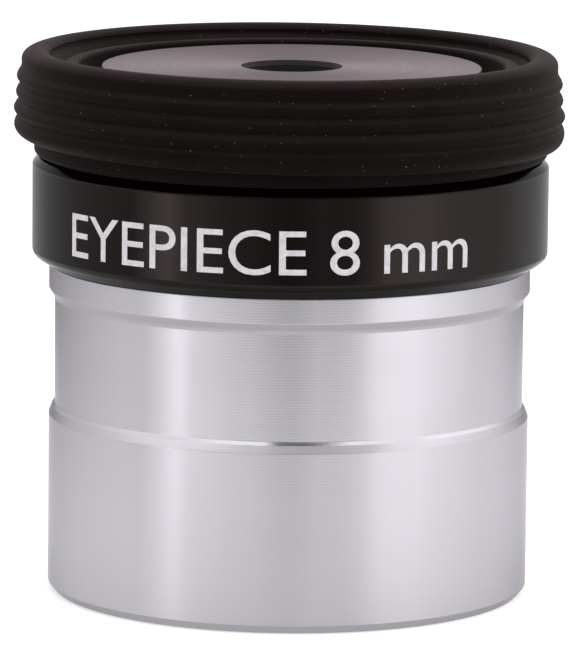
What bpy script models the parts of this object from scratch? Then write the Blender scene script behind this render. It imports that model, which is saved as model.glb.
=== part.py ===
"""A 1.25 inch Plossl telescope eyepiece with a focal length of 7.5 mm.

Every piece is turned about the optical axis, +Z. The origin is on that axis, in the plane of the
barrel's foot, and the eye end is up. From the foot: a plated barrel with an undercut, a black housing
that screws onto the barrel's neck, a lens cell with two cemented doublets, a turned eye cap, and a
rubber eyecup folded down over its own base.

Threads are plain cylinders here: each male thread is a thread gap smaller than its female thread.
"""

import math

import bpy

MM = 0.001
GAP = 0.3  # clearance between a piece and the neighbour that it rests on or screws into

# All lengths below are in millimetres: radii from the optical axis, heights above the barrel's foot.

# Barrel: 1.25 inch nosepiece
BARREL_RADIUS = 31.75 / 2
FOOT_CHAMFER = 0.4
FOOT_CHAMFER_HEIGHT = 0.5
UNDERCUT_RADIUS = 15.48
UNDERCUT_RAMP = 0.7  # height of each sloping shoulder of the undercut
FLANGE_TOP = 11.72
COLLAR_BOTTOM = 20.11
COLLAR_TOP = 21.6
BORE_RADIUS = 13.7
FILTER_THREAD_RADIUS = 14.25  # M28.5 x 0.6 filter thread, at its root
FILTER_THREAD_DEPTH = 4.6
FILTER_LEAD_IN = 0.35
NECK_RADIUS = 14.2
NECK_BORE_RADIUS = 12.9
NECK_BORE_BOTTOM = 19.6
NECK_HEIGHT = 3.3
NECK_CHAMFER = 0.2

# Housing: the black band with its neck for the eyecup
BAND_RADIUS = 17.0
BAND_TOP = 28.8
BAND_TOP_CHAMFER = 0.4
BAND_TOP_CHAMFER_HEIGHT = 0.45
BAND_CORNER_TOP = 22.67
BAND_CORNER_RADIUS = 0.5
BAND_CORNER_END = -57  # degrees round the corner, where the cone under the band takes over
BAND_CONE_SLOPE = 0.85 / 0.65  # radius lost per height on that cone
BAND_CONE_START = (16.75, 22.25)
HOUSING_BOTTOM = COLLAR_TOP + GAP
HOUSING_WALL_TOP = 29.0  # underside of the web that carries the lens cell
HOUSING_INNER_RADIUS = 12.0
CELL_SEAT = 31.0
CAP_THREAD_RADIUS = 10.5
CUP_NECK_RADIUS = 13.6
CUP_NECK_TOP = 33.4
CUP_GROOVE_RADIUS = 13.0
CUP_GROOVE_BOTTOM = 30.1
CUP_GROOVE_TOP = 31.9

# Eye cap: the turned disc round the eye hole
CAP_RADIUS = 12.5
CAP_TOP = 34.77
CAP_EDGE_CHAMFER = 0.15
CAP_RECESS_RADIUS = 7.4
CAP_SPIGOT_BOTTOM = 32.5
EYE_HOLE_RADIUS = 3.05
EYE_HOLE_CHAMFER = 0.28
EYE_PLATE_BOTTOM = 34.1

# Lens cell and its rings
CELL_RADIUS = 6.9
CELL_BORE_RADIUS = 5.1
CELL_BOTTOM = 19.9
CELL_FLANGE_RADIUS = 10.1
CELL_FLANGE_HEIGHT = 0.9
FIELD_STOP_APERTURE = 3.4
FIELD_STOP_BOTTOM = 20.2
FIELD_STOP_EDGE = 0.1  # height of the sharp edge round the aperture
RETAINER_APERTURE = 3.9
RING_HEIGHT = 1.0
SPANNER_SLOT_WIDTH = 1.2
SPANNER_SLOT_DEPTH = 0.45

# Optics: a symmetrical pair of doublets, flint outside and crown inside
LENS_RADIUS = CELL_BORE_RADIUS - GAP
CEMENT_CURVATURE = 8.0
CROWN_CURVATURE = 10.0
FLINT_CENTRE = 1.0
CROWN_CENTRE = 3.8
AIR_SPACE = 0.6
SPACER_BORE = 4.1

# Rubber eyecup, folded down
CUP_BASE_RADIUS = 16.2
CUP_FOOT_RADIUS = 16.9
CUP_FOOT_TOP = 29.72
CUP_BEAD_RADIUS = 14.45
CUP_BEAD_TOP = 34.97
CUP_BEAD_SLOPE = 0.3
CUP_SHELF_RADIUS = 15.45
CUP_SHELF_TOP = 34.75
CUP_SHELF_BEVEL = (0.3, 0.35)  # width and height
CUP_SHELF_FOOT = 33.6  # where the flare under the shelf meets the base
SKIRT_BORE_RADIUS = 16.5
SKIRT_BORE_TOP = 33.9
RIM_INNER_RADIUS = 15.75
RIM_TOP = 35.7
RIM_OUTER_RADIUS = 17.62
RIM_OUTER_HEIGHT = 35.1
RIM_UNDERSIDE = (15.85, 34.75)
RIB_COUNT = 3
RIB_PITCH = 1.02
RIB_CREST_DROP = 0.36  # height from the valley above a rib down to its crest
RIB_TOP_CREST = 34.14  # height of the topmost rib's crest
RIB_CREST_RADIUS = 17.93
RIB_FLARE = 0.08  # each rib stands this much further out than the one above
RIB_DEPTH = 0.28
LIP_CENTRE = (16.95, 30.77)
LIP_RADII = (1.14, 0.98)
LIP_START, LIP_END = 15, -75  # degrees from the outward direction
LIP_EDGE = (0.25, 0.26)  # from the skirt's bore outward, and up from the lip's underside
LIP_BORE_RISE = 0.55

STEPS_LARGE = 48
STEPS_SMALL = 32


def clear_scene():
    for obj in list(bpy.data.objects):
        bpy.data.objects.remove(obj, do_unlink=True)


def collection(name):
    group = bpy.data.collections.new(name)
    bpy.context.scene.collection.children.link(group)
    return group


def finish(name, colour, roughness, metallic=0.0, transmission=0.0):
    """A Principled material; colour is linear RGB."""
    material = bpy.data.materials.new(name)
    material.use_nodes = True
    shader = material.node_tree.nodes["Principled BSDF"]
    shader.inputs["Base Color"].default_value = (*colour, 1.0)
    shader.inputs["Roughness"].default_value = roughness
    shader.inputs["Metallic"].default_value = metallic
    shader.inputs["Transmission Weight"].default_value = transmission
    return material


def chrome(name):
    return finish(name, (0.62, 0.60, 0.62), 0.28, metallic=1.0)


def turned_grey(name):
    return finish(name, (0.19, 0.175, 0.19), 0.38, metallic=1.0)


def black_anodised(name):
    return finish(name, (0.012, 0.011, 0.011), 0.35, metallic=0.3)


def rubber(name):
    return finish(name, (0.014, 0.012, 0.012), 0.8)


def glass(name):
    return finish(name, (0.85, 0.88, 0.95), 0.02, transmission=1.0)


def turned(name, profile, material, steps=STEPS_LARGE, closed=True):
    """A body of revolution. The profile, in mm, runs down its outer side.

    A closed profile makes a ring. An open one starts and ends on the axis and makes a solid.
    """
    points = [(radius * MM, 0.0, height * MM) for radius, height in profile]
    edges = [(i, i + 1) for i in range(len(points) - 1)]
    if closed:
        edges.append((len(points) - 1, 0))
    mesh = bpy.data.meshes.new(name)
    mesh.from_pydata(points, edges, [])
    obj = bpy.data.objects.new(name, mesh)
    PIECES.objects.link(obj)
    screw = obj.modifiers.new("Turn", "SCREW")
    screw.axis = "Z"
    screw.angle = 2 * math.pi
    screw.steps = steps
    screw.render_steps = steps
    screw.use_merge_vertices = True
    screw.merge_threshold = 1e-6
    screw.use_smooth_shade = True
    mesh.materials.append(material(name))
    return obj


def spanner_slots(ring, depth_from):
    """Cuts one slot right across the ring's lower face, which leaves two slots for a pin spanner."""
    bpy.ops.mesh.primitive_cube_add(size=1.0, location=(0.0, 0.0, depth_from * MM))
    cutter = bpy.context.object
    cutter.name = ring.name + "_slot_cutter"
    cutter.scale = (3 * LENS_RADIUS * MM, SPANNER_SLOT_WIDTH * MM, 2 * SPANNER_SLOT_DEPTH * MM)
    cutter.hide_render = True
    cutter.display_type = "WIRE"
    for group in list(cutter.users_collection):
        group.objects.unlink(cutter)
    CUTTERS.objects.link(cutter)
    cut = ring.modifiers.new("Spanner slots", "BOOLEAN")
    cut.operation = "DIFFERENCE"
    cut.object = cutter


def arc(centre, radii, start, end, segments):
    """Points on an ellipse arc from start to end, in degrees from the outward direction."""
    points = []
    for i in range(segments + 1):
        angle = math.radians(start + (end - start) * i / segments)
        points.append((centre[0] + radii[0] * math.cos(angle), centre[1] + radii[1] * math.sin(angle)))
    return points


def sag(radius, curvature):
    """Depth of a sphere of that radius of curvature at a distance from the axis."""
    return curvature - math.sqrt(curvature**2 - radius**2)


def surface(vertex, curvature, bulge, segments=4):
    """A lens face from the axis to the rim; bulge is +1 where the rim lies below the vertex."""
    radii = [LENS_RADIUS * i / segments for i in range(segments + 1)]
    return [(radius, vertex - bulge * sag(radius, curvature)) for radius in radii]


def band_cone_radius(height):
    """Radius of the cone under the band."""
    start_radius, start_height = BAND_CONE_START
    return start_radius - (start_height - height) * BAND_CONE_SLOPE


def make_barrel():
    neck_top = COLLAR_TOP + NECK_HEIGHT
    return turned(
        "barrel",
        [
            (NECK_BORE_RADIUS, neck_top),
            (NECK_RADIUS - NECK_CHAMFER, neck_top),
            (NECK_RADIUS, neck_top - NECK_CHAMFER),
            (NECK_RADIUS, COLLAR_TOP),
            (BARREL_RADIUS, COLLAR_TOP),
            (BARREL_RADIUS, COLLAR_BOTTOM),
            (UNDERCUT_RADIUS, COLLAR_BOTTOM - UNDERCUT_RAMP),
            (UNDERCUT_RADIUS, FLANGE_TOP + UNDERCUT_RAMP),
            (BARREL_RADIUS, FLANGE_TOP),
            (BARREL_RADIUS, FOOT_CHAMFER_HEIGHT),
            (BARREL_RADIUS - FOOT_CHAMFER, 0.0),
            (FILTER_THREAD_RADIUS + FILTER_LEAD_IN, 0.0),
            (FILTER_THREAD_RADIUS, FILTER_LEAD_IN),
            (FILTER_THREAD_RADIUS, FILTER_THREAD_DEPTH),
            (BORE_RADIUS, FILTER_THREAD_DEPTH),
            (BORE_RADIUS, NECK_BORE_BOTTOM),
            (NECK_BORE_RADIUS, NECK_BORE_BOTTOM),
        ],
        chrome,
    )


def make_housing():
    thread_radius = NECK_RADIUS + GAP
    thread_top = COLLAR_TOP + NECK_HEIGHT + GAP
    corner = arc(
        (BAND_RADIUS - BAND_CORNER_RADIUS, BAND_CORNER_TOP),
        (BAND_CORNER_RADIUS, BAND_CORNER_RADIUS),
        0,
        BAND_CORNER_END,
        2,
    )
    return turned(
        "housing",
        [
            (CAP_THREAD_RADIUS, CUP_NECK_TOP),
            (CUP_NECK_RADIUS, CUP_NECK_TOP),
            (CUP_NECK_RADIUS, CUP_GROOVE_TOP),
            (CUP_GROOVE_RADIUS, CUP_GROOVE_TOP),
            (CUP_GROOVE_RADIUS, CUP_GROOVE_BOTTOM),
            (CUP_NECK_RADIUS, CUP_GROOVE_BOTTOM),
            (CUP_NECK_RADIUS, BAND_TOP),
            (BAND_RADIUS - BAND_TOP_CHAMFER, BAND_TOP),
            (BAND_RADIUS, BAND_TOP - BAND_TOP_CHAMFER_HEIGHT),
            *corner,
            (band_cone_radius(HOUSING_BOTTOM), HOUSING_BOTTOM),
            (thread_radius, HOUSING_BOTTOM),
            (thread_radius, thread_top),
            (HOUSING_INNER_RADIUS, thread_top),
            (HOUSING_INNER_RADIUS, HOUSING_WALL_TOP),
            (CELL_RADIUS + GAP, HOUSING_WALL_TOP),
            (CELL_RADIUS + GAP, CELL_SEAT),
            (CAP_THREAD_RADIUS, CELL_SEAT),
        ],
        black_anodised,
    )


def make_eye_cap():
    disc_bottom = CUP_NECK_TOP + GAP
    spigot_radius = CAP_THREAD_RADIUS - GAP
    return turned(
        "eye_cap",
        [
            (EYE_HOLE_RADIUS + EYE_HOLE_CHAMFER, CAP_TOP),
            (CAP_RADIUS - CAP_EDGE_CHAMFER, CAP_TOP),
            (CAP_RADIUS, CAP_TOP - CAP_EDGE_CHAMFER),
            (CAP_RADIUS, disc_bottom),
            (spigot_radius, disc_bottom),
            (spigot_radius, CAP_SPIGOT_BOTTOM),
            (CAP_RECESS_RADIUS, CAP_SPIGOT_BOTTOM),
            (CAP_RECESS_RADIUS, EYE_PLATE_BOTTOM),
            (EYE_HOLE_RADIUS, EYE_PLATE_BOTTOM),
            (EYE_HOLE_RADIUS, CAP_TOP - EYE_HOLE_CHAMFER),
        ],
        turned_grey,
    )


def make_lens_cell():
    top = EYE_PLATE_BOTTOM - GAP
    flange_bottom = CELL_SEAT + GAP
    flange_top = flange_bottom + CELL_FLANGE_HEIGHT
    return turned(
        "lens_cell",
        [
            (CELL_BORE_RADIUS, top),
            (CELL_RADIUS, top),
            (CELL_RADIUS, flange_top),
            (CELL_FLANGE_RADIUS, flange_top),
            (CELL_FLANGE_RADIUS, flange_bottom),
            (CELL_RADIUS, flange_bottom),
            (CELL_RADIUS, CELL_BOTTOM),
            (CELL_BORE_RADIUS, CELL_BOTTOM),
        ],
        black_anodised,
        steps=STEPS_SMALL,
    )


def element(name, top_face, bottom_face):
    """A lens between two faces, each given from the axis to the rim."""
    return turned(name, top_face + bottom_face[::-1], glass, steps=STEPS_SMALL, closed=False)


def make_optics():
    """Both doublets with their spacer; returns the pieces and the height of the lowest face."""
    eye_face = EYE_PLATE_BOTTOM - GAP
    eye_cement = eye_face - FLINT_CENTRE
    eye_inner = eye_cement - GAP - CROWN_CENTRE
    field_inner = eye_inner - AIR_SPACE
    field_cement = field_inner - CROWN_CENTRE
    field_face = field_cement - GAP - FLINT_CENTRE
    pieces = [
        element(
            "eye_flint",
            [(0.0, eye_face), (LENS_RADIUS, eye_face)],
            surface(eye_cement, CEMENT_CURVATURE, 1),
        ),
        element(
            "eye_crown",
            surface(eye_cement - GAP, CEMENT_CURVATURE, 1),
            surface(eye_inner, CROWN_CURVATURE, -1),
        ),
        element(
            "field_crown",
            surface(field_inner, CROWN_CURVATURE, 1),
            surface(field_cement, CEMENT_CURVATURE, -1),
        ),
        element(
            "field_flint",
            surface(field_cement - GAP, CEMENT_CURVATURE, -1),
            [(0.0, field_face), (LENS_RADIUS, field_face)],
        ),
    ]
    bore_sag = sag(SPACER_BORE, CROWN_CURVATURE)
    rim_sag = sag(LENS_RADIUS, CROWN_CURVATURE)
    pieces.append(
        turned(
            "lens_spacer",
            [
                (SPACER_BORE, eye_inner + bore_sag - GAP),
                (LENS_RADIUS, eye_inner + rim_sag - GAP),
                (LENS_RADIUS, field_inner - rim_sag + GAP),
                (SPACER_BORE, field_inner - bore_sag + GAP),
            ],
            black_anodised,
            steps=STEPS_SMALL,
        )
    )
    return pieces, field_face


def make_retaining_ring(field_face):
    top = field_face - GAP
    ring = turned(
        "retaining_ring",
        [
            (RETAINER_APERTURE, top),
            (LENS_RADIUS, top),
            (LENS_RADIUS, top - RING_HEIGHT),
            (RETAINER_APERTURE, top - RING_HEIGHT),
        ],
        black_anodised,
        steps=STEPS_SMALL,
    )
    spanner_slots(ring, top - RING_HEIGHT)
    return ring


def make_field_stop():
    top = FIELD_STOP_BOTTOM + RING_HEIGHT
    ring = turned(
        "field_stop",
        [
            (FIELD_STOP_APERTURE, top),
            (LENS_RADIUS, top),
            (LENS_RADIUS, FIELD_STOP_BOTTOM),
            (RETAINER_APERTURE, FIELD_STOP_BOTTOM),
            (FIELD_STOP_APERTURE, top - FIELD_STOP_EDGE),
        ],
        black_anodised,
        steps=STEPS_SMALL,
    )
    spanner_slots(ring, FIELD_STOP_BOTTOM)
    return ring


def make_eyecup_base():
    inner = CUP_NECK_RADIUS + GAP
    bead = CUP_GROOVE_RADIUS + GAP
    bottom = BAND_TOP + GAP
    return turned(
        "eyecup_base",
        [
            (inner, CUP_BEAD_TOP - CUP_BEAD_SLOPE),
            (CUP_BEAD_RADIUS, CUP_BEAD_TOP),
            (CUP_SHELF_RADIUS - CUP_SHELF_BEVEL[0], CUP_SHELF_TOP),
            (CUP_SHELF_RADIUS, CUP_SHELF_TOP - CUP_SHELF_BEVEL[1]),
            (CUP_BASE_RADIUS, CUP_SHELF_FOOT),
            (CUP_BASE_RADIUS, CUP_FOOT_TOP),
            (CUP_FOOT_RADIUS, CUP_FOOT_TOP),
            (CUP_FOOT_RADIUS, bottom),
            (inner, bottom),
            (inner, CUP_GROOVE_BOTTOM + GAP),
            (bead, CUP_GROOVE_BOTTOM + GAP),
            (bead, CUP_GROOVE_TOP - GAP),
            (inner, CUP_GROOVE_TOP - GAP),
        ],
        rubber,
    )


def make_eyecup_skirt():
    rim_centre = ((RIM_INNER_RADIUS + RIM_OUTER_RADIUS) / 2, RIM_OUTER_HEIGHT)
    rim_radii = ((RIM_OUTER_RADIUS - RIM_INNER_RADIUS) / 2, RIM_TOP - RIM_OUTER_HEIGHT)
    ribs = []
    for i in range(RIB_COUNT):
        crest_height = RIB_TOP_CREST - i * RIB_PITCH
        crest_radius = RIB_CREST_RADIUS + i * RIB_FLARE
        ribs.append((crest_radius - RIB_DEPTH, crest_height + RIB_CREST_DROP))
        ribs.append((crest_radius, crest_height))
    last_valley = (ribs[-1][0] - RIB_DEPTH / 2, ribs[-1][1] + RIB_CREST_DROP - RIB_PITCH)
    lip = arc(LIP_CENTRE, LIP_RADII, LIP_START, LIP_END, 4)
    lip_bottom = lip[-1][1]
    return turned(
        "eyecup_skirt",
        [
            *arc(rim_centre, rim_radii, 180, 0, 6),
            *ribs,
            last_valley,
            *lip,
            (SKIRT_BORE_RADIUS + LIP_EDGE[0], lip_bottom + LIP_EDGE[1]),
            (SKIRT_BORE_RADIUS, lip_bottom + LIP_BORE_RISE),
            (SKIRT_BORE_RADIUS, SKIRT_BORE_TOP),
            RIM_UNDERSIDE,
        ],
        rubber,
    )


def joint_frame(name, height, parent=None):
    """An empty on the optical axis that carries the pieces of one moving body."""
    empty = bpy.data.objects.new(name, None)
    PIECES.objects.link(empty)
    empty.location = (0.0, 0.0, height * MM)
    if parent is not None:
        attach(empty, parent)
    return empty


def attach(obj, parent):
    """Parents an object and leaves it where it stands."""
    bpy.context.view_layer.update()
    obj.parent = parent
    obj.matrix_parent_inverse = parent.matrix_world.inverted()


clear_scene()
PIECES = collection("telescope_eyepiece")
CUTTERS = collection("cutters")

make_barrel()
lift_frame = joint_frame("housing_lift_frame", COLLAR_TOP)
turn_frame = joint_frame("housing_turn_frame", COLLAR_TOP, lift_frame)
fold_frame = joint_frame("eyecup_fold_frame", CUP_SHELF_TOP, turn_frame)

optics, last_lens_face = make_optics()
for piece in optics:
    attach(piece, lift_frame)
for piece in (
    make_housing(),
    make_eye_cap(),
    make_lens_cell(),
    make_retaining_ring(last_lens_face),
    make_field_stop(),
    make_eyecup_base(),
):
    attach(piece, turn_frame)
attach(make_eyecup_skirt(), fold_frame)
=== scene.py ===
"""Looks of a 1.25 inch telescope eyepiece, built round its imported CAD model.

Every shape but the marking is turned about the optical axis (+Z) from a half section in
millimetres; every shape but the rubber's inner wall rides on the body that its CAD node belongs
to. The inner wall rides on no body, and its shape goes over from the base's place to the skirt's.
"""

import math

import bmesh
import bpy
from mathutils import Matrix, Vector


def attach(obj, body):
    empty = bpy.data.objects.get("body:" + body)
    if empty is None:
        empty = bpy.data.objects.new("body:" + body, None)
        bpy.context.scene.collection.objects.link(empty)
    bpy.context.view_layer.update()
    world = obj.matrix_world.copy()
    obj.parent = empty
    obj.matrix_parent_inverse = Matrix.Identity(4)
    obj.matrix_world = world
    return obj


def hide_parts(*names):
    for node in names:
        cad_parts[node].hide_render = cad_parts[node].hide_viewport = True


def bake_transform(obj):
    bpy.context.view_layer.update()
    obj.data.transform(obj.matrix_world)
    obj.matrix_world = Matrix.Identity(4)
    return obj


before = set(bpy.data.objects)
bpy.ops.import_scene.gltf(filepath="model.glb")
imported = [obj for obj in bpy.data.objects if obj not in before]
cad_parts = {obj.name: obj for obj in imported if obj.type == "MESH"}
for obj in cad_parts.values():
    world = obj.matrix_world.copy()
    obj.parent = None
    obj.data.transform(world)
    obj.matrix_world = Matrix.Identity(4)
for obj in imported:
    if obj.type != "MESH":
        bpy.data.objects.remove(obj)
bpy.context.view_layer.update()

MM = 0.001
ROUND = 256  # segments round a large piece
ROUND_SMALL = 144  # and round the pieces inside
ARC_STEP = math.radians(15)  # of a rounded corner
MOST_REACH = 0.42  # share of a straight side that the arc at each of its ends may take
HOLD = 0.04  # mm between an arc and the point that keeps its neighbour flat
MOST_HOLD = 0.05  # and at most this share of the side
SHARP = math.radians(32)  # edges that turn more than this stay sharp
THREAD_ROWS = 10  # points in the height of one turn
THREAD_FADE = 0.6  # turns over which a thread runs out at its ends
THREAD_FLATS = 1.4  # above 1, a thread's crests and roots are flat
CUTTER_LENGTH = 40.0  # mm, longer than any slotted ring is wide
TINY = 1e-4  # mm

# ---------------------------------------------------------------- sizes, in mm

BARREL_R = 31.75 / 2
FOOT_CHAMFER = 0.4
FOOT_CHAMFER_TOP = 0.5
FLANGE_TOP = 11.72  # the lower part of the barrel, under the undercut
UNDERCUT_R = 15.48
UNDERCUT_LOW, UNDERCUT_TOP = 12.44, 19.41
COLLAR_LOW, COLLAR_TOP = 20.11, 21.74
BORE_LINING_R = 13.95
NECK_BORE_R = 12.9
NECK_SEAT, NECK_TOP = 19.6, 24.9
BAND_R = 17.0
BAND_LOW = 22.44  # where the cone under the band ends
BAND_CHAMFER_LOW, BAND_TOP = 28.35, 28.8
GROOVE_LOW, GROOVE_TOP = 30.1, 31.9  # the groove that holds the eyecup's bead
CUP_NECK_R, GROOVE_R = 13.6, 13.0
CAP_R = 12.5
CAP_TOP = 34.77
HOLE_EDGE_R = 3.34
HOLE_R = 3.05
SKIN = 0.01  # a lining stands this much clear of what it lines
LENS_R = 5.07
LENS_CHAMFER = 0.1
CEMENT_CURVE = 8.0
CROWN_CURVE = 10.0

# Threads: radius, foot, top, depth, pitch
NECK_THREAD = (14.08, 21.85, 24.65, 0.42, 0.75)
FILTER_THREAD = (14.1, 0.35, 4.6, 0.32, 0.6)
HOUSING_THREAD = (14.55, 21.95, 25.1, 0.3, 0.75)
CELL_THREAD = (5.14, 20.0, 22.9, 0.12, 0.5)

# ---------------------------------------------------------------- turned meshes


def rounded(loop):
    """The closed loop's points, with each (radius, height, rounding) corner made into an arc.

    A point just outside each end of an arc keeps the straight side next to it evenly shaded.
    """
    points = []
    for i, corner in enumerate(loop):
        at = Vector(corner[:2])
        if len(corner) == 2:
            points.append(at)
            continue
        back = Vector(loop[i - 1][:2]) - at
        onward = Vector(loop[(i + 1) % len(loop)][:2]) - at
        half = back.angle(onward) / 2
        room = MOST_REACH * min(back.length, onward.length)
        reach = min(corner[2] / math.tan(half), room)
        hold = [min(HOLD, MOST_HOLD * side.length) for side in (back, onward)]
        back.normalize()
        onward.normalize()
        centre = at + (back + onward).normalized() * (reach / math.cos(half))
        start = at + back * reach - centre
        end = at + onward * reach - centre
        turn = math.atan2(start.cross(end), start.dot(end))
        steps = max(2, math.ceil(abs(turn) / ARC_STEP))
        points.append(at + back * (reach + hold[0]))
        for k in range(steps + 1):
            points.append(centre + Matrix.Rotation(turn * k / steps, 2) @ start)
        points.append(at + onward * (reach + hold[1]))
    return points


def rows(sizes, downward=False):
    """Points up or down a thread's cylinder, close enough together to carve the thread."""
    radius, foot, top, _, pitch = sizes
    count = round((top - foot) / (pitch / THREAD_ROWS))
    points = [(radius, foot + (top - foot) * k / count) for k in range(count + 1)]
    return points[::-1] if downward else points


def thread(sizes):
    """A right-hand thread on the rows at that radius: what to add to the radius of a point."""
    radius, foot, top, depth, pitch = sizes
    fade = THREAD_FADE * pitch

    def carve(r, z, angle):
        if abs(r - radius) > TINY or not foot <= z <= top:
            return 0.0
        phase = (z / pitch - angle / (2 * math.pi)) % 1.0
        wave = max(-1.0, min(1.0, THREAD_FLATS * (4 * abs(phase - 0.5) - 1)))
        ends = max(0.0, min(1.0, (z - foot) / fade, (top - z) / fade))
        return depth / 2 * wave * ends

    return carve


def turned(name, loop, body, material, stands_for=(), threads=(), move=None, around=ROUND):
    """A closed body of revolution about Z.

    A loop whose ends lie on the axis makes a solid piece. move(x, y, z) shifts a point, in mm.
    """
    points = rounded(loop)
    mesh = bpy.data.meshes.new(name)
    bm = bmesh.new()
    rings = []
    for r, z in points:
        if r < TINY:
            rings.append([bm.verts.new((0.0, 0.0, z * MM))])
            continue
        ring = []
        for j in range(around):
            angle = 2 * math.pi * j / around
            out = r + sum(carve(r, z, angle) for carve in threads)
            place = (out * math.cos(angle), out * math.sin(angle), z)
            if move is not None:
                place = move(*place)
            ring.append(bm.verts.new(Vector(place) * MM))
        rings.append(ring)
    for a, b in zip(rings, rings[1:] + rings[:1]):
        if len(a) == len(b) == 1:
            continue
        for j in range(around):
            k = (j + 1) % around
            corners = [a[j % len(a)], a[k % len(a)], b[k % len(b)], b[j % len(b)]]
            bm.faces.new(list(dict.fromkeys(corners)))
    bmesh.ops.recalc_face_normals(bm, faces=bm.faces)
    bm.to_mesh(mesh)
    bm.free()
    mesh.polygons.foreach_set("use_smooth", [True] * len(mesh.polygons))
    mesh.set_sharp_from_angle(angle=SHARP)
    mesh.materials.append(material)
    obj = bpy.data.objects.new(name, mesh)
    bpy.context.scene.collection.objects.link(obj)
    if body is not None:
        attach(obj, body)
    if stands_for:
        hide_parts(*stands_for)
    return obj


def cut_slots(obj, low, depth, width):
    """Two pin-spanner slots across the lower face of a ring."""
    bm = bmesh.new()
    bmesh.ops.create_cube(bm, size=1.0)
    size = Vector((CUTTER_LENGTH, width, 2 * depth)) * MM
    bar = Matrix.Translation((0, 0, low * MM)) @ Matrix.Diagonal((*size, 1))
    bmesh.ops.transform(bm, matrix=bar, verts=bm.verts)
    cutter_mesh = bpy.data.meshes.new("cutter")
    bm.to_mesh(cutter_mesh)
    bm.free()
    cutter = bpy.data.objects.new("cutter", cutter_mesh)
    bpy.context.scene.collection.objects.link(cutter)
    cut = obj.modifiers.new("Slots", "BOOLEAN")
    cut.operation = "DIFFERENCE"
    cut.object = cutter
    graph = bpy.context.evaluated_depsgraph_get()
    made = bpy.data.meshes.new_from_object(obj.evaluated_get(graph))
    obj.modifiers.clear()
    obj.data = made
    made.set_sharp_from_angle(angle=SHARP)
    bpy.data.objects.remove(cutter)


# ---------------------------------------------------------------- materials, with lengths in metres


def principled(name, **sockets):
    """A Principled material with constants on its sockets; an underscore stands for a space."""
    made = bpy.data.materials.new(name)
    made.use_nodes = True
    shader = made.node_tree.nodes["Principled BSDF"]
    for socket, value in sockets.items():
        shader.inputs[socket.replace("_", " ")].default_value = value
    return made, made.node_tree, shader


def node(tree, kind, inputs=None, **settings):
    """A node with its settings and inputs; an input that is a socket is linked."""
    made = tree.nodes.new("ShaderNode" + kind)
    for key, value in settings.items():
        setattr(made, key, value)
    for key, value in (inputs or {}).items():
        if isinstance(value, bpy.types.NodeSocket):
            tree.links.new(value, made.inputs[key])
        else:
            made.inputs[key].default_value = value
    return made


def maths(tree, operation, a, b=0.0):
    """The result of one sum."""
    return node(tree, "Math", {0: a, 1: b}, operation=operation).outputs[0]


def place(tree, stretch=(1, 1, 1)):
    """Object coordinates, scaled."""
    coordinates = node(tree, "TexCoord").outputs["Object"]
    return node(tree, "Mapping", {"Vector": coordinates, "Scale": stretch}).outputs["Vector"]


def parts(tree, vector):
    """The X, Y and Z sockets of a vector."""
    return node(tree, "SeparateXYZ", {"Vector": vector}).outputs


def from_axis(tree):
    """A point's distance from the optical axis."""
    spot = parts(tree, place(tree))
    squares = [maths(tree, "MULTIPLY", spot[axis], spot[axis]) for axis in "XY"]
    return maths(tree, "SQRT", maths(tree, "ADD", *squares))


def noise(tree, vector, scale, detail=2.0, roughness=0.5):
    """Smooth random values round 0.5."""
    inputs = {"Vector": vector, "Scale": scale, "Detail": detail, "Roughness": roughness}
    return node(tree, "TexNoise", inputs).outputs["Fac"]


def span(tree, value, low, high, to_low=0.0, to_high=1.0):
    """Maps value from low..high to to_low..to_high, held at the ends."""
    inputs = {"Value": value, "From Min": low, "From Max": high, "To Min": to_low, "To Max": to_high}
    return node(tree, "MapRange", inputs).outputs["Result"]


def past(tree, level, width, to_low=0.0, to_high=1.0):
    """Goes from to_low to to_high with height, over a width that starts at that level, in mm."""
    height = parts(tree, place(tree))["Z"]
    return span(tree, height, level * MM, (level + width) * MM, to_low, to_high)


def mix(tree, share, a, b):
    """The colour a where share is 0 and b where it is 1."""
    made = node(tree, "Mix", {"Factor": share}, data_type="RGBA")
    for socket, value in zip([s for s in made.inputs if s.type == "RGBA"], (a, b)):
        if isinstance(value, bpy.types.NodeSocket):
            tree.links.new(value, socket)
        else:
            socket.default_value = (*value, 1.0)
    return [s for s in made.outputs if s.type == "RGBA"][0]


def specks(tree, cell, size, share, stretch=(1, 1, 1)):
    """Small spots: 1 inside a spot.

    cell is their spacing, size the largest one's radius as a share of it, and share how many of
    the cells have one.
    """
    cells = node(tree, "TexVoronoi", {"Vector": place(tree, stretch), "Scale": 1 / cell})
    chance = node(tree, "SeparateColor", {"Color": cells.outputs["Color"]}).outputs
    radius = span(tree, chance["Green"], 0.0, 1.0, 0.35 * size, size)
    inside = maths(tree, "LESS_THAN", cells.outputs["Distance"], radius)
    chosen = maths(tree, "LESS_THAN", chance["Red"], share)
    return maths(tree, "MULTIPLY", inside, chosen)


def bump(tree, shader, height, strength, distance):
    """Shades the surface as if it rose by distance where height is 1."""
    inputs = {"Height": height, "Strength": strength, "Distance": distance}
    tree.links.new(node(tree, "Bump", inputs).outputs["Normal"], shader.inputs["Normal"])


def turning_marks(tree, pitch, wander):
    """Grooves that a lathe tool leaves round the axis: an even wave and a slow wander, 0 to 1."""
    stray = noise(tree, place(tree, (0.02, 0.02, 1.0)), 0.3 / pitch, 1.0)
    turns = maths(tree, "MULTIPLY", parts(tree, place(tree))["Z"], 2 * math.pi / pitch)
    phase = maths(tree, "ADD", turns, maths(tree, "MULTIPLY", stray, 3.0))
    wave = span(tree, maths(tree, "SINE", phase), -1.0, 1.0)
    return wave, noise(tree, place(tree, (0.03, 0.03, 1.0)), 1 / wander, 2.0)


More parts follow.
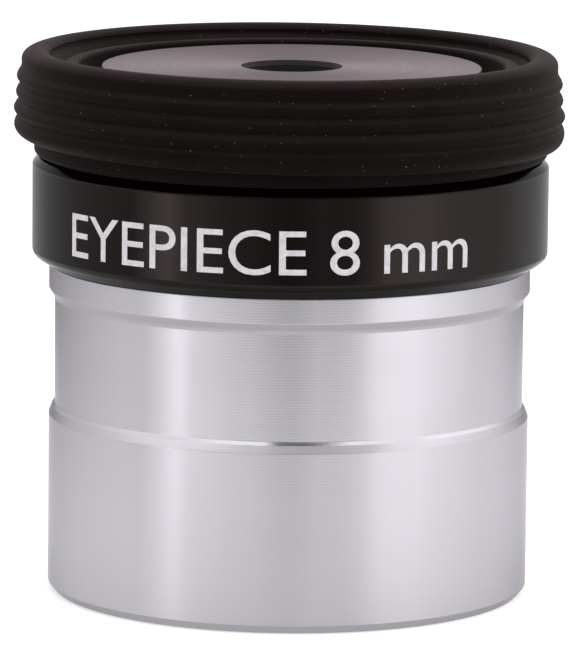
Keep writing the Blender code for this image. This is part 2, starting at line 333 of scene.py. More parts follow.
def round_the_axis(tree, shader):
    """Stretches the highlights across the turning marks."""
    shader.inputs["Anisotropic Rotation"].default_value = 0.25
    around_axis = node(tree, "Tangent", direction_type="RADIAL", axis="Z").outputs[0]
    tree.links.new(around_axis, shader.inputs["Tangent"])


def plated_metal():
    """Satin bright plate over a finely turned surface, with a few pits.

    The undercut's upper shoulder and the foot's chamfer have painted shade: a darker base colour
    standing in for the shadowed floor near the foot, which they reflect.
    """
    made, tree, shader = principled(
        "plated_metal", Metallic=1.0, Anisotropic=1.0, Specular_Tint=(0.70, 0.68, 0.71, 1.0)
    )
    wave, wander = turning_marks(tree, 0.00018, 0.0011)
    cloud = noise(tree, place(tree), 130.0, 3.0)
    pits = specks(tree, 0.0013, 0.04, 0.05)
    over_undercut = past(tree, UNDERCUT_TOP - 0.05, 0.06)
    under_collar = past(tree, COLLAR_LOW - 0.03, 0.08, 1.0, 0.0)
    shoulder_shade = maths(tree, "MULTIPLY", over_undercut, under_collar)
    foot = past(tree, FOOT_CHAMFER_TOP, 0.06, 1.0, 0.0)
    tone = mix(tree, span(tree, cloud, 0.3, 0.7), (0.590, 0.571, 0.612), (0.608, 0.590, 0.632))
    tone = mix(tree, span(tree, wander, 0.35, 0.65, 0.0, 0.06), tone, (0.672, 0.657, 0.698))
    # painted shade on the upper shoulder and the foot's chamfer: the shadowed floor near the foot,
    # as they reflect it
    tone = mix(tree, maths(tree, "MAXIMUM", shoulder_shade, foot), tone, (0.455, 0.438, 0.468))
    tone = mix(tree, pits, tone, (0.19, 0.16, 0.16))
    tree.links.new(tone, shader.inputs["Base Color"])
    satin = span(tree, wander, 0.3, 0.7, 0.22, 0.24)
    rough = maths(tree, "ADD", satin, maths(tree, "MULTIPLY", pits, 0.3))
    tree.links.new(rough, shader.inputs["Roughness"])
    round_the_axis(tree, shader)
    bump(tree, shader, maths(tree, "SUBTRACT", wave, pits), 1.0, 0.0000013)
    return made


def black_anodised():
    """Semi-gloss black anodising on a turned surface, with a little dust.

    The cone under the band reflects less, and the chamfer on top of it reflects less as painted
    shade: the shade under the rubber's lip.
    """
    made, tree, shader = principled(
        "black_anodised", IOR=1.33, Anisotropic=0.2, Specular_Tint=(1.0, 0.80, 0.80, 1.0)
    )
    wave, wander = turning_marks(tree, 0.00021, 0.0012)
    dust = specks(tree, 0.0010, 0.045, 0.25)
    tone = mix(tree, wander, (0.0009, 0.0004, 0.0001), (0.0013, 0.0007, 0.0003))
    tone = mix(tree, dust, tone, (0.03, 0.024, 0.022))
    tree.links.new(tone, shader.inputs["Base Color"])
    tree.links.new(span(tree, wander, 0.3, 0.7, 0.09, 0.11), shader.inputs["Roughness"])
    over_cone = past(tree, BAND_LOW - 0.24, 0.5, 0.05, 0.5)
    # painted shade: the chamfer reflects less where the rubber's lip shades it
    lip_shade = past(tree, BAND_CHAMFER_LOW - 0.05, 0.1, 0.0, 0.45)
    gloss = maths(tree, "SUBTRACT", over_cone, lip_shade)
    tree.links.new(gloss, shader.inputs["Specular IOR Level"])
    round_the_axis(tree, shader)
    bump(tree, shader, wave, 1.0, 0.0000002)
    return made


def turned_grey():
    """The eye cap's faced disc: fine concentric tool marks in grey metal."""
    made, tree, shader = principled(
        "turned_grey", Metallic=1.0, Anisotropic=0.7, Specular_Tint=(0.885, 0.805, 0.825, 1.0)
    )
    height = parts(tree, place(tree))["Z"]
    line = node(tree, "CombineXYZ", {"X": from_axis(tree), "Y": height}).outputs[0]
    small = noise(tree, line, 9000.0, 1.0)
    large = noise(tree, line, 900.0, 2.0)
    tone = mix(tree, large, (0.110, 0.090, 0.100), (0.136, 0.112, 0.124))
    tree.links.new(tone, shader.inputs["Base Color"])
    tree.links.new(span(tree, small, 0.3, 0.7, 0.34, 0.44), shader.inputs["Roughness"])
    round_the_axis(tree, shader)
    bump(tree, shader, small, 0.2, 0.000003)
    return made


def rubber():
    """Matt black moulded rubber with a fine grain, pale dust and lint, and paler where it faces up:
    painted light from above, together with settled dust.
    """
    made, tree, shader = principled(
        "rubber",
        IOR=1.5,
        Specular_IOR_Level=0.03,
        Specular_Tint=(1.0, 0.78, 0.78, 1.0),
        Sheen_Weight=0.035,
        Sheen_Roughness=0.45,
        Sheen_Tint=(1.0, 0.62, 0.62, 1.0),
    )
    grain = noise(tree, place(tree), 6500.0, 3.0, 0.7)
    cloud = noise(tree, place(tree), 260.0, 4.0, 0.6)
    dust = specks(tree, 0.0004, 0.09, 0.7)
    lint = specks(tree, 0.0030, 0.045, 0.7, (5.0, 5.0, 0.9))
    marks = maths(tree, "MAXIMUM", dust, maths(tree, "MULTIPLY", lint, 0.7))
    tone = mix(tree, span(tree, cloud, 0.3, 0.7), (0.0040, 0.0026, 0.0025), (0.0058, 0.0040, 0.0040))
    upward = parts(tree, node(tree, "NewGeometry").outputs["Normal"])["Z"]
    # paler where the surface faces up: painted light from above, together with settled dust
    tone = mix(tree, span(tree, upward, 0.3, 0.95), tone, (0.0150, 0.0105, 0.0102))
    tone = mix(tree, marks, tone, (0.17, 0.145, 0.14))
    tree.links.new(tone, shader.inputs["Base Color"])
    tree.links.new(span(tree, cloud, 0.25, 0.75, 0.52, 0.6), shader.inputs["Roughness"])
    bump(tree, shader, grain, 0.5, 0.00001)
    return made


def matt_black():
    """Matt black lining paint."""
    made, tree, shader = principled("matt_black", IOR=1.4)
    grain = noise(tree, place(tree), 7000.0, 3.0)
    tone = mix(tree, grain, (0.003, 0.002, 0.0018), (0.008, 0.0055, 0.005))
    tree.links.new(tone, shader.inputs["Base Color"])
    tree.links.new(span(tree, grain, 0.3, 0.7, 0.6, 0.8), shader.inputs["Roughness"])
    bump(tree, shader, grain, 0.3, 0.00001)
    return made


def glass(name, ior):
    """Polished glass with the tint of a coating and a trace of haze."""
    made, tree, shader = principled(
        name, IOR=ior, Transmission_Weight=1.0, Specular_Tint=(0.74, 0.62, 0.86, 1.0)
    )
    haze = noise(tree, place(tree), 420.0, 3.0)
    tree.links.new(span(tree, haze, 0.45, 0.8, 0.0, 0.03), shader.inputs["Roughness"])
    tone = mix(tree, haze, (0.94, 0.96, 0.95), (0.97, 0.98, 0.98))
    tree.links.new(tone, shader.inputs["Base Color"])
    return made


def marking_paint():
    """White pad-printed ink, a little thin in places."""
    made, tree, shader = principled("marking_paint", IOR=1.45)
    ink = noise(tree, place(tree), 2600.0, 3.0, 0.6)
    tone = mix(tree, span(tree, ink, 0.35, 0.65), (0.47, 0.45, 0.475), (0.58, 0.555, 0.58))
    tree.links.new(tone, shader.inputs["Base Color"])
    tree.links.new(span(tree, ink, 0.3, 0.7, 0.45, 0.6), shader.inputs["Roughness"])
    bump(tree, shader, ink, 0.2, 0.00001)
    return made


METAL = plated_metal()
BLACK = black_anodised()
GREY = turned_grey()
RUBBER = rubber()
LINING = matt_black()
FLINT = glass("flint_glass", 1.62)
CROWN = glass("crown_glass", 1.52)
INK = marking_paint()

# ---------------------------------------------------------------- barrel

turned(
    "barrel_shell",
    [
        (14.62, 0.0, 0.04),
        (BARREL_R - FOOT_CHAMFER, 0.0, 0.05),
        (BARREL_R, FOOT_CHAMFER_TOP, 0.06),
        (BARREL_R, FLANGE_TOP, 0.12),
        (15.66, 12.22, 0.08),
        (UNDERCUT_R, UNDERCUT_LOW, 0.05),
        (UNDERCUT_R, UNDERCUT_TOP, 0.1),
        (15.56, 19.62, 0.1),
        (BARREL_R, COLLAR_LOW, 0.1),
        (BARREL_R, COLLAR_TOP, 0.1),
        (13.9, COLLAR_TOP, 0.05),
        *rows(NECK_THREAD),
        (13.85, NECK_TOP, 0.05),
        (NECK_BORE_R, NECK_TOP, 0.05),
        (NECK_BORE_R, NECK_SEAT, 0.05),
        (BORE_LINING_R, NECK_SEAT),
        (BORE_LINING_R, 4.75),
        *rows(FILTER_THREAD, downward=True),
    ],
    "barrel",
    METAL,
    ["barrel"],
    threads=[thread(NECK_THREAD), thread(FILTER_THREAD)],
)

LINING_R, LINING_LOW = 13.72, 4.8
BAFFLE_COUNT, BAFFLE_PITCH, BAFFLE_DEPTH = 28, 0.5, 0.22
baffles = []
for k in range(BAFFLE_COUNT):
    root = 19.3 - k * BAFFLE_PITCH
    baffles += [(LINING_R, root), (LINING_R - BAFFLE_DEPTH, root - BAFFLE_PITCH / 2)]
turned(
    "barrel_lining",
    [
        (BORE_LINING_R - SKIN, LINING_LOW),
        (BORE_LINING_R - SKIN, NECK_SEAT - 2 * SKIN),
        (NECK_BORE_R + 2 * SKIN, NECK_SEAT - 2 * SKIN),
        (NECK_BORE_R + 2 * SKIN, 19.4),
        *baffles,
        (LINING_R, LINING_LOW + 0.3, 0.05),
        (LINING_R, LINING_LOW, 0.03),
    ],
    "barrel",
    LINING,
    around=192,
)

# ---------------------------------------------------------------- housing

HOUSING_FOOT = COLLAR_TOP + 0.03
CAP_SEAT = 33.68
CELL_R, CELL_SEAT_R, CELL_SEAT = 6.9, 10.25, 31.28
HOUSING_BORE_R, HOUSING_BORE_TOP = 12.0, 29.0
turned(
    "housing_body",
    [
        (14.95, HOUSING_FOOT, 0.04),
        (15.93, HOUSING_FOOT, 0.08),
        (BAND_R, BAND_LOW, 0.55),
        (BAND_R, BAND_CHAMFER_LOW, 0.12),
        (BAND_R - 0.4, BAND_TOP, 0.06),
        (CUP_NECK_R, BAND_TOP, 0.05),
        (CUP_NECK_R, GROOVE_LOW),
        (GROOVE_R, GROOVE_LOW),
        (GROOVE_R, GROOVE_TOP),
        (CUP_NECK_R, GROOVE_TOP),
        (CUP_NECK_R, 33.6, 0.1),
        (12.4, CAP_SEAT),
        (CELL_SEAT_R, CAP_SEAT),
        (CELL_SEAT_R, CELL_SEAT),
        (CELL_R + 0.05, CELL_SEAT),
        (CELL_R + 0.05, HOUSING_BORE_TOP),
        (HOUSING_BORE_R, HOUSING_BORE_TOP, 0.2),
        (HOUSING_BORE_R, 25.3, 0.05),
        (14.7, 25.2),
        *rows(HOUSING_THREAD, downward=True),
    ],
    "housing",
    BLACK,
    ["housing"],
    threads=[thread(HOUSING_THREAD)],
)

SPIGOT_R, SPIGOT_BORE_R, SPIGOT_LOW = 10.2, 7.4, 32.5
CAP_LOW = 33.7
EYE_PLATE_LOW = 34.0
HOLE_CHAMFER = 0.3
turned(
    "eye_cap_disc",
    [
        (HOLE_EDGE_R, CAP_TOP, 0.02),
        (CAP_R, CAP_TOP, 0.12),
        (CAP_R, CAP_LOW, 0.05),
        (SPIGOT_R, CAP_LOW),
        (SPIGOT_R, SPIGOT_LOW, 0.15),
        (SPIGOT_BORE_R, SPIGOT_LOW, 0.05),
        (SPIGOT_BORE_R, EYE_PLATE_LOW),
        (HOLE_EDGE_R, EYE_PLATE_LOW),
    ],
    "housing",
    GREY,
    ["eye_cap"],
)

turned(
    "eye_hole_lining",
    [
        (HOLE_EDGE_R - SKIN, CAP_TOP - SKIN),
        (HOLE_R, CAP_TOP - HOLE_CHAMFER, 0.02),
        (HOLE_R, EYE_PLATE_LOW + 2 * SKIN, 0.02),
        (HOLE_EDGE_R - SKIN, EYE_PLATE_LOW + 2 * SKIN),
    ],
    "housing",
    LINING,
    around=ROUND_SMALL,
)

# ---------------------------------------------------------------- lens cell and its rings

CELL_TOP, CELL_LOW = 33.85, 19.9
CELL_FLANGE_R, CELL_FLANGE_LOW, CELL_FLANGE_TOP = 10.1, 31.3, 32.2
turned(
    "lens_cell_tube",
    [
        (CELL_THREAD[0], CELL_TOP, 0.04),
        (CELL_R, CELL_TOP, 0.08),
        (CELL_R, CELL_FLANGE_TOP),
        (CELL_FLANGE_R, CELL_FLANGE_TOP, 0.08),
        (CELL_FLANGE_R, CELL_FLANGE_LOW, 0.08),
        (CELL_R, CELL_FLANGE_LOW),
        (CELL_R, CELL_LOW, 0.15),
        (5.3, CELL_LOW, 0.05),
        *rows(CELL_THREAD),
    ],
    "housing",
    BLACK,
    ["lens_cell"],
    threads=[thread(CELL_THREAD)],
    around=ROUND_SMALL,
)

RING_R = 5.06
RETAINER_BORE_R, RETAINER_LOW, RETAINER_TOP = 3.9, 21.7, 22.95
APERTURE_R, STOP_LOW, STOP_TOP = 3.4, 20.2, 21.2
SLOT_DEPTH, SLOT_WIDTH = 0.45, 1.2
retaining = turned(
    "lens_retaining_ring",
    [
        (RETAINER_BORE_R, RETAINER_TOP, 0.03),
        (RING_R, RETAINER_TOP, 0.05),
        (RING_R, RETAINER_LOW, 0.1),
        (RETAINER_BORE_R, RETAINER_LOW, 0.08),
    ],
    "housing",
    BLACK,
    ["retaining_ring"],
    around=ROUND_SMALL,
)
cut_slots(retaining, RETAINER_LOW, SLOT_DEPTH, SLOT_WIDTH)

stop = turned(
    "field_stop_ring",
    [
        (APERTURE_R, STOP_TOP),
        (RING_R, STOP_TOP, 0.05),
        (RING_R, STOP_LOW, 0.1),
        (APERTURE_R + 0.5, STOP_LOW, 0.05),
        (APERTURE_R, STOP_TOP - 0.1),
    ],
    "housing",
    BLACK,
    ["field_stop"],
    around=ROUND_SMALL,
)
cut_slots(stop, STOP_LOW, SLOT_DEPTH, SLOT_WIDTH)

# ---------------------------------------------------------------- lenses

FACE_STEPS = 14
CEMENT = 0.03  # the gap between the two lenses of a doublet
EYE_FLINT_TOP, EYE_FLINT_LOW = 33.93, 32.53
EYE_CROWN_LOW = 28.7
FIELD_CROWN_TOP, FIELD_CROWN_LOW = 28.1, 24.3
FIELD_FLINT_LOW = 23.0


def sag(radius, curve):
    """How far a lens face has fallen from its vertex at that radius."""
    return curve - math.sqrt(curve**2 - radius**2)


def curved_face(vertex, curve, side):
    """A lens face from the axis out. side is 1 where the rim lies below the vertex, -1 above it."""
    radii = [LENS_R * k / FACE_STEPS for k in range(FACE_STEPS + 1)]
    return [(r, vertex - side * sag(r, curve)) for r in radii]


def flat_face(level, side):
    """A flat, chamfered face. side is 1 on top of the lens and -1 underneath."""
    edge = LENS_R - LENS_CHAMFER
    return [(0.0, level), (edge, level), (LENS_R, level - side * LENS_CHAMFER)]


def lens(name, top, bottom, material, node_name):
    """A lens between two faces, each given from the axis out."""
    points = top + bottom[::-1]
    turned(name, points, "lens_group", material, [node_name], around=ROUND_SMALL)


lens(
    "eye_lens_flint",
    flat_face(EYE_FLINT_TOP, 1),
    curved_face(EYE_FLINT_LOW, CEMENT_CURVE, 1),
    FLINT,
    "eye_flint",
)
lens(
    "eye_lens_crown",
    curved_face(EYE_FLINT_LOW - CEMENT, CEMENT_CURVE, 1),
    curved_face(EYE_CROWN_LOW, CROWN_CURVE, -1),
    CROWN,
    "eye_crown",
)
lens(
    "field_lens_crown",
    curved_face(FIELD_CROWN_TOP, CROWN_CURVE, 1),
    curved_face(FIELD_CROWN_LOW, CEMENT_CURVE, -1),
    CROWN,
    "field_crown",
)
lens(
    "field_lens_flint",
    curved_face(FIELD_CROWN_LOW - CEMENT, CEMENT_CURVE, -1),
    flat_face(FIELD_FLINT_LOW, -1),
    FLINT,
    "field_flint",
)

SPACER_BORE_R = 4.1
SPACER_GAP = 0.02
spacer_low = FIELD_CROWN_TOP + SPACER_GAP
spacer_top = EYE_CROWN_LOW - SPACER_GAP
turned(
    "lens_spacer_ring",
    [
        (SPACER_BORE_R, spacer_top + sag(SPACER_BORE_R, CROWN_CURVE)),
        (RING_R, spacer_top + sag(RING_R, CROWN_CURVE)),
        (RING_R, spacer_low - sag(RING_R, CROWN_CURVE)),
        (SPACER_BORE_R, spacer_low - sag(SPACER_BORE_R, CROWN_CURVE)),
    ],
    "lens_group",
    LINING,
    ["lens_spacer"],
    around=ROUND_SMALL,
)

# ---------------------------------------------------------------- rubber eyecup

SHELF_TOP = 34.74
WEB_END = 35.3  # above this the inner wall moves with the skirt
SKIRT_TILT = 0.0078  # the folded skirt sits a little crooked: height gained to the left
LIP_TILT = 0.0065  # its lip more so
RIM_TILT = -0.0035  # and its rim less
RIM_LIFT = 0.09
SKIRT_SHIFT = 0.12  # to the left
LIP_START, LIP_END = 31.2, 29.9  # heights over which the lip's share grows
RIM_START, RIM_END = 34.6, 35.5
OUT_OF_ROUND, OUT_OF_ROUND_AT = 0.0012, 1.1


def ease(value, start, end):
    """0 at start and 1 at end, with no kink at either."""
    t = max(0.0, min(1.0, (value - start) / (end - start)))
    return t * t * (3 - 2 * t)


def skirt_place(x, y, z):
    """The folded skirt leans over to one side, more at its lip, and isn't quite round."""
    angle = math.atan2(y, x)
    lip = ease(z, LIP_START, LIP_END)
    rim = ease(z, RIM_START, RIM_END)
    lift = -x * (SKIRT_TILT + LIP_TILT * lip + RIM_TILT * rim) + RIM_LIFT * rim
    swell = 1 + OUT_OF_ROUND * lip * math.sin(2 * angle + OUT_OF_ROUND_AT)
    return x * swell - SKIRT_SHIFT, y * swell, z + lift


def web_place(x, y, z):
    """The inner wall goes over from the base's place to the skirt's."""
    share = ease(z, SHELF_TOP, WEB_END)
    return x - SKIRT_SHIFT * share, y, z - x * SKIRT_TILT * share


BEAD_TOP = 34.95
CUP_BASE_R, CUP_FOOT_R = 16.2, 16.9
RUBBER_GAP = 0.02  # between the rubber and the neck that it grips
turned(
    "rubber_base",
    [
        (13.9, 34.3, 0.2),
        (14.02, BEAD_TOP, 0.3),
        (14.75, BEAD_TOP, 0.5),
        (15.2, SHELF_TOP, 0.3),
        (15.45, SHELF_TOP),
        (15.5, 34.3, 0.1),
        (CUP_BASE_R, 33.6, 0.4),
        (CUP_BASE_R, 30.75, 0.2),
        (CUP_FOOT_R, 30.5, 0.15),
        (CUP_FOOT_R, 29.06, 0.34),
        (16.3, 28.86, 0.1),
        (CUP_NECK_R + RUBBER_GAP, BAND_TOP + 0.04),
        (CUP_NECK_R + RUBBER_GAP, GROOVE_LOW + 0.03),
        (GROOVE_R + RUBBER_GAP, GROOVE_LOW + 0.03),
        (GROOVE_R + RUBBER_GAP, GROOVE_TOP - 0.03),
        (CUP_NECK_R + RUBBER_GAP, GROOVE_TOP - 0.03),
        (CUP_NECK_R + RUBBER_GAP, 33.3),
    ],
    "housing",
    RUBBER,
    ["eyecup_base"],
)


def ellipse(centre, radii, start, end, steps):
    """Points on an ellipse arc, in degrees from the outward direction."""
    angles = [math.radians(start + (end - start) * k / steps) for k in range(steps + 1)]
    return [
        (centre[0] + radii[0] * math.cos(a), centre[1] + radii[1] * math.sin(a)) for a in angles
    ]


RIB_VALLEYS = [(17.65, 34.52), (17.69, 33.49), (17.77, 32.45), (17.9, 31.4)]
RIB_DEPTHS = [0.26, 0.25, 0.28]
RIB_CREST = 0.56  # share of a rib's height above its crest
RIB_STEPS = 16
RIB_LINE, RIB_LINE_DEPTH = 7, 0.02  # which step has a fine moulding line, and how deep it is


def rib(top, bottom, depth):
    """A rib that swells out from its upper valley and curves back in to the lower one."""
    points = []
    for k in range(RIB_STEPS):
        share = k / RIB_STEPS
        if share < RIB_CREST:
            inward = 1 - share / RIB_CREST
        else:
            inward = (share - RIB_CREST) / (1 - RIB_CREST)
        out = 1 - (inward**2 + ease(inward, 0, 1)) / 2
        if k == RIB_LINE:
            out -= RIB_LINE_DEPTH / depth
        valley = top[0] + (bottom[0] - top[0]) * share
        points.append((valley + depth * out, top[1] + (bottom[1] - top[1]) * share))
    return points


LIP_R, LIP_HEIGHT = 16.95, 30.77
LIP_BORE_LOW, LIP_BORE_TOP = 29.95, 30.7
SKIRT_BORE_R = 16.4
skirt_loop = [
    *ellipse((16.62, 35.1), (0.87, 0.6), 180, 90, 8)[:-1],
    *ellipse((16.55, 35.05), (1.07, 0.65), 90, 0, 8),
    (17.61, 34.75),
]
for k, depth in enumerate(RIB_DEPTHS):
    skirt_loop += rib(RIB_VALLEYS[k], RIB_VALLEYS[k + 1], depth)
skirt_loop += [
    RIB_VALLEYS[-1],
    *ellipse((LIP_R, LIP_HEIGHT), (1.14, 0.9), 33, 0, 4),
    *ellipse((LIP_R + 0.1, LIP_HEIGHT), (1.04, 0.95), -8, -90, 9),
    (LIP_R - 0.03, LIP_BORE_LOW, 0.1),
    (LIP_R - 0.03, LIP_BORE_TOP, 0.2),
    (SKIRT_BORE_R, 31.1, 0.2),
    (SKIRT_BORE_R, 34.1, 0.2),
    (15.95, 34.75),
]
turned(
    "rubber_skirt",
    skirt_loop,
    "skirt",
    RUBBER,
    ["eyecup_skirt"],
    move=skirt_place,
)

WEB_STEPS = 14
WEB_LOW, WEB_TOP = 34.6, 35.42
WEB_R, WEB_REACH, WEB_ROUNDNESS = 15.3, 0.47, 0.8
WEB_THICKNESS = 0.3
inner_wall = []
for k in range(WEB_STEPS + 1):
    share = k / WEB_STEPS
    out = math.sin(math.pi / 2 * ease(share, 0.05, 1.0)) ** WEB_ROUNDNESS
    inner_wall.append((WEB_R + WEB_REACH * out, WEB_LOW + (WEB_TOP - WEB_LOW) * share))
outer_wall = [(r + WEB_THICKNESS, z) for r, z in inner_wall]
web = turned(
    "rubber_inner_wall",
    inner_wall + outer_wall[::-1],
    None,
    RUBBER,
    move=web_place,
)
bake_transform(web)

# ---------------------------------------------------------------- marking

TEXT = "EYEPIECE 8 mm"
TEXT_LEFT, TEXT_RIGHT = math.radians(-55.5), math.radians(41.8)  # about -Y, to the right
BASELINE = 23.44
CAP_HEIGHT = 2.84
INK_THICKNESS = 0.012
INK_ROOT = 0.02  # how far its underside is sunk into the band
BEND_STEPS = 120
MERGE = 1e-5  # distances in the flat text, whose size is about 1
CUT_TOLERANCE = 1e-6


def marking():
    """The generic marking, wrapped round the band."""
    curve = bpy.data.curves.new("marking_text", "FONT")
    curve.body = TEXT
    curve.size = 1.0
    curve.extrude = 0.01
    curve.resolution_u = 6
    flat = bpy.data.objects.new("marking_text", curve)
    bpy.context.scene.collection.objects.link(flat)
    graph = bpy.context.evaluated_depsgraph_get()
    mesh = bpy.data.meshes.new_from_object(flat.evaluated_get(graph))
    bpy.data.objects.remove(flat)
    bm = bmesh.new()
    bm.from_mesh(mesh)
    bmesh.ops.remove_doubles(bm, verts=bm.verts, dist=MERGE)
    low = Vector([min(v.co[i] for v in bm.verts) for i in range(3)])
    high = Vector([max(v.co[i] for v in bm.verts) for i in range(3)])
    for k in range(1, BEND_STEPS):
        cut = (low.x + (high.x - low.x) * k / BEND_STEPS, 0, 0)
        geometry = bm.verts[:] + bm.edges[:] + bm.faces[:]
        bmesh.ops.bisect_plane(
            bm, geom=geometry, plane_co=cut, plane_no=(1, 0, 0), dist=CUT_TOLERANCE
        )
    for v in bm.verts:
        share = (v.co.x - low.x) / (high.x - low.x)
        angle = TEXT_LEFT + (TEXT_RIGHT - TEXT_LEFT) * share
        radius = BAND_R + (INK_THICKNESS if v.co.z > 0 else -INK_ROOT)
        height = BASELINE + v.co.y / high.y * CAP_HEIGHT
        v.co = Vector((radius * math.sin(angle), -radius * math.cos(angle), height)) * MM
    bmesh.ops.recalc_face_normals(bm, faces=bm.faces)
    bm.to_mesh(mesh)
    bm.free()
    mesh.materials.clear()
    mesh.materials.append(INK)
    obj = bpy.data.objects.new("band_marking", mesh)
    bpy.context.scene.collection.objects.link(obj)
    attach(obj, "housing")


marking()

# ---------------------------------------------------------------- studio

FLOOR_REACH = 3.0  # studio sizes are in metres
FLOOR_LEVEL = -0.00002


def floor():
    """A plain white floor, just under the object."""
    made, tree, shader = principled(
        "floor_white", Roughness=0.7, Emission_Color=(1, 1, 1, 1), Emission_Strength=0.3
    )
    shade = noise(tree, place(tree), 3.0, 2.0)
    tone = mix(tree, shade, (0.9, 0.9, 0.9), (0.92, 0.92, 0.92))
    tree.links.new(tone, shader.inputs["Base Color"])
    mesh = bpy.data.meshes.new("floor")
    sides = [(-1, -1), (1, -1), (1, 1), (-1, 1)]
    corners = [(x * FLOOR_REACH, y * FLOOR_REACH, FLOOR_LEVEL) for x, y in sides]
    mesh.from_pydata(corners, [], [(0, 1, 2, 3)])
    mesh.materials.append(made)
    obj = bpy.data.objects.new("floor", mesh)
    bpy.context.scene.collection.objects.link(obj)


AIM_HEIGHT = 0.02


def softbox(name, azimuth, elevation, distance, size, watts):
    """A rectangular light aimed at the object.

    Azimuth 0 is the camera's side, and 90 the right one.
    """
    light = bpy.data.lights.new(name, "AREA")
    light.shape = "RECTANGLE"
    light.size, light.size_y = size
    light.energy = watts
    obj = bpy.data.objects.new(name, light)
    a, e = math.radians(azimuth), math.radians(elevation)
    away = Vector((math.sin(a) * math.cos(e), -math.cos(a) * math.cos(e), math.sin(e)))
    obj.location = Vector((0, 0, AIM_HEIGHT)) + away * distance
    obj.rotation_euler = away.to_track_quat("Z", "Y").to_euler()
    obj.visible_camera = False
    obj.visible_glossy = False
    bpy.context.scene.collection.objects.link(obj)


FOOT_SHADE = (0.0165, 0.034)  # distances over which the floor's glow grows to its even level
FOOT_EVEN = (0.030, 0.105)  # and over which that gives way to the tones


def glow(name, points, faces, tones, foot=False):
    """A glowing screen that only reflections see.

    tones are (azimuth in degrees, brightness), from behind the object round its left, its front
    and its right. With foot, the part close to the axis glows evenly, and less right under the
    object.
    """
    mesh = bpy.data.meshes.new(name)
    mesh.from_pydata(points, [], faces)
    made = bpy.data.materials.new(name)
    made.use_nodes = True
    tree = made.node_tree
    tree.nodes.clear()
    spot = parts(tree, place(tree))
    azimuth = maths(tree, "ARCTAN2", spot["X"], maths(tree, "MULTIPLY", spot["Y"], -1.0))
    ramp = node(tree, "ValToRGB", {"Fac": span(tree, azimuth, -math.pi, math.pi)})
    stops = ramp.color_ramp.elements
    while len(stops) < len(tones):
        stops.new(0.5)
    for stop, (degrees, _) in zip(stops, tones):
        stop.position = (degrees + 180) / 360
    for stop, (_, tone) in zip(stops, tones):  # apart, because a moved stop can change its place
        stop.color = (tone, tone, tone, 1.0)
    colour = ramp.outputs["Color"]
    if foot:
        away = from_axis(tree)
        even = mix(tree, span(tree, away, *FOOT_SHADE), (0.84, 0.84, 0.84), (1.08, 1.08, 1.08))
        colour = mix(tree, span(tree, away, *FOOT_EVEN), even, colour)
    light = node(tree, "Emission", {"Color": colour, "Strength": 1.0})
    output = node(tree, "OutputMaterial")
    tree.links.new(light.outputs[0], output.inputs["Surface"])
    mesh.materials.append(made)
    obj = bpy.data.objects.new(name, mesh)
    bpy.context.scene.collection.objects.link(obj)
    obj.visible_camera = False
    obj.visible_diffuse = False
    obj.visible_shadow = False
    obj.visible_transmission = False


SCREEN_STEPS = 96


def circle(radius, level):
    """Points on a level circle, from the camera's side round to the right."""
    edge = [2 * math.pi * k / SCREEN_STEPS for k in range(SCREEN_STEPS)]
    return [(radius * math.sin(t), -radius * math.cos(t), level) for t in edge]


def light_tent(name, radius, low, high, tones):
    """A screen that stands round the object."""
    faces = []
    for k in range(SCREEN_STEPS):
        onward = (k + 1) % SCREEN_STEPS
        faces.append((k, k + SCREEN_STEPS, onward + SCREEN_STEPS, onward))
    glow(name, circle(radius, low) + circle(radius, high), faces, tones)


def light_disc(name, radius, level, tones, foot=False):
    """A screen under or over the object."""
    glow(name, circle(radius, level), [tuple(range(SCREEN_STEPS))], tones, foot)


# Tones: (azimuth in degrees, brightness)
BAND_TONES = [
    (-180, 0.4),
    (-120, 0.48),
    (-95, 0.54),
    (-78, 0.6),
    (-69, 0.58),
    (-60, 1.42),
    (-51, 2.34),
    (-44, 1.28),
    (-25, 0.72),
    (-15, 0.58),
    (-6, 0.42),
    (1, 0.36),
    (6, 0.42),
    (13, 0.58),
    (18, 0.52),
    (27, 0.6),
    (33, 0.98),
    (40, 1.75),
    (50, 2),
    (60, 1.95),
    (67, 1.55),
    (80, 1.19),
    (96, 0.79),
    (115, 0.68),
    (135, 0.52),
    (180, 0.44),
]
FLOOR_TONES = [
    (-180, 0.9),
    (-121, 0.8),
    (-100, 0.9),
    (-83, 1.01),
    (-68, 0.95),
    (-60, 0.78),
    (-53, 0.94),
    (-44, 1.33),
    (-30, 1.5),
    (-17, 1.51),
    (-9, 1.34),
    (2, 1.21),
    (10, 1.34),
    (11, 1.47),
    (14, 1.47),
    (15, 1.42),
    (25, 1.54),
    (33, 1.58),
    (40, 1.56),
    (52, 1.32),
    (69, 1.3),
    (84, 1.28),
    (101, 1.24),
    (122, 1.27),
    (140, 1.25),
    (180, 0.9),
]
DARK_TONES = [
    (-180, 0.95),
    (-160, 0.8),
    (-110, 0.85),
    (-70, 0.8),
    (-40, 0.3),
    (0, 0.05),
    (40, 0.3),
    (70, 0.8),
    (110, 1.0),
    (160, 0.8),
    (180, 0.95),
]
WALL_TONES = [
    (-180, 1.15),
    (-160, 0.9),
    (-130, 0.85),
    (-110, 1.0),
    (-80, 1.35),
    (-55, 1.52),
    (-40, 1.42),
    (-20, 1.0),
    (0, 0.92),
    (28, 0.8),
    (40, 0.9),
    (55, 1.55),
    (80, 1.7),
    (120, 1.5),
    (140, 1.05),
    (160, 0.95),
    (180, 1.15),
]
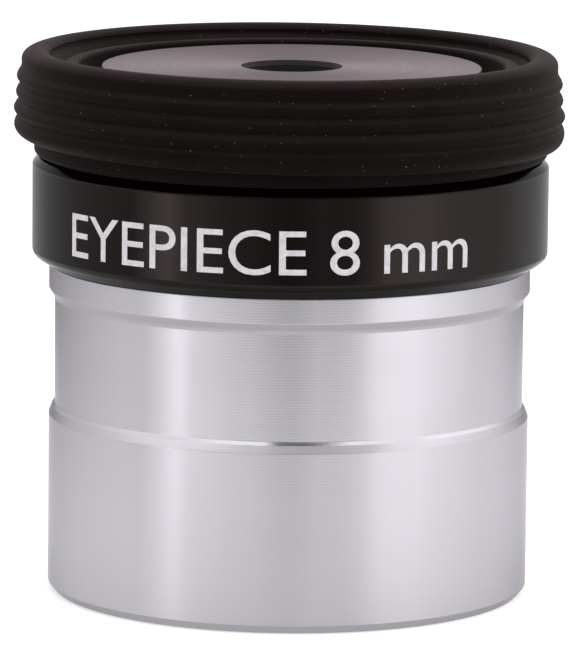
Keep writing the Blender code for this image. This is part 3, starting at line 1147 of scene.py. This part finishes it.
CEILING_TONES = [
    (-180, 0.15),
    (-130, 0.2),
    (-90, 0.9),
    (-75, 1.2),
    (-50, 1.8),
    (-15, 1.9),
    (-13, 0.03),
    (20, 0.03),
    (24, 0.3),
    (36, 0.35),
    (40, 1.9),
    (50, 2),
    (75, 1.6),
    (95, 0.9),
    (130, 0.2),
    (180, 0.15),
]

floor()
softbox("softbox_right", 68, 38, 0.5, (0.34, 0.4), 0.75)
softbox("softbox_left", -55, 38, 0.5, (0.16, 0.4), 0.3)
softbox("softbox_top", 0, 88, 0.6, (0.5, 0.5), 0.8)
LOW_TOP, DARK_TOP, WALL_TOP, CEILING = 0.022, 0.055, 0.16, 0.3
FLOOR_R, LOW_R, WALL_R, HIGH_R = 0.111, 0.11, 0.115, 0.12
light_disc("light_floor", FLOOR_R, FLOOR_LEVEL / 2, FLOOR_TONES, foot=True)
light_tent("light_tent_low", LOW_R, 0.0, LOW_TOP, BAND_TONES)
light_tent("light_tent_dark", LOW_R, LOW_TOP, DARK_TOP, DARK_TONES)
light_tent("light_tent_wall", WALL_R, DARK_TOP, WALL_TOP, WALL_TONES)
light_tent("light_tent_high", HIGH_R, WALL_TOP, CEILING, CEILING_TONES)
light_disc("light_ceiling", HIGH_R, CEILING, CEILING_TONES)

world = bpy.data.worlds.new("studio")
bpy.context.scene.world = world
world.use_nodes = True
surround = world.node_tree.nodes["Background"].inputs
surround["Color"].default_value = (1.0, 1.0, 1.0, 1.0)
surround["Strength"].default_value = 0.8

# ---------------------------------------------------------------- camera

CAMERA_PLACE = (-0.000205, -0.39658, 0.08159)
CAMERA_PITCH = math.radians(9.178)
CAMERA_ROLL = math.radians(0.599)
SENSOR_WIDTH = 36.0
FOCAL_LENGTH = 336.4
camera = bpy.data.cameras.new("camera")
camera.sensor_width = SENSOR_WIDTH
camera.lens = FOCAL_LENGTH
camera_object = bpy.data.objects.new("camera", camera)
camera_object.matrix_world = (
    Matrix.Translation(CAMERA_PLACE)
    @ Matrix.Rotation(math.pi / 2 - CAMERA_PITCH, 4, "X")
    @ Matrix.Rotation(CAMERA_ROLL, 4, "Z")
)
bpy.context.scene.collection.objects.link(camera_object)
bpy.context.scene.camera = camera_object
bpy.context.scene.view_settings.view_transform = "Standard"
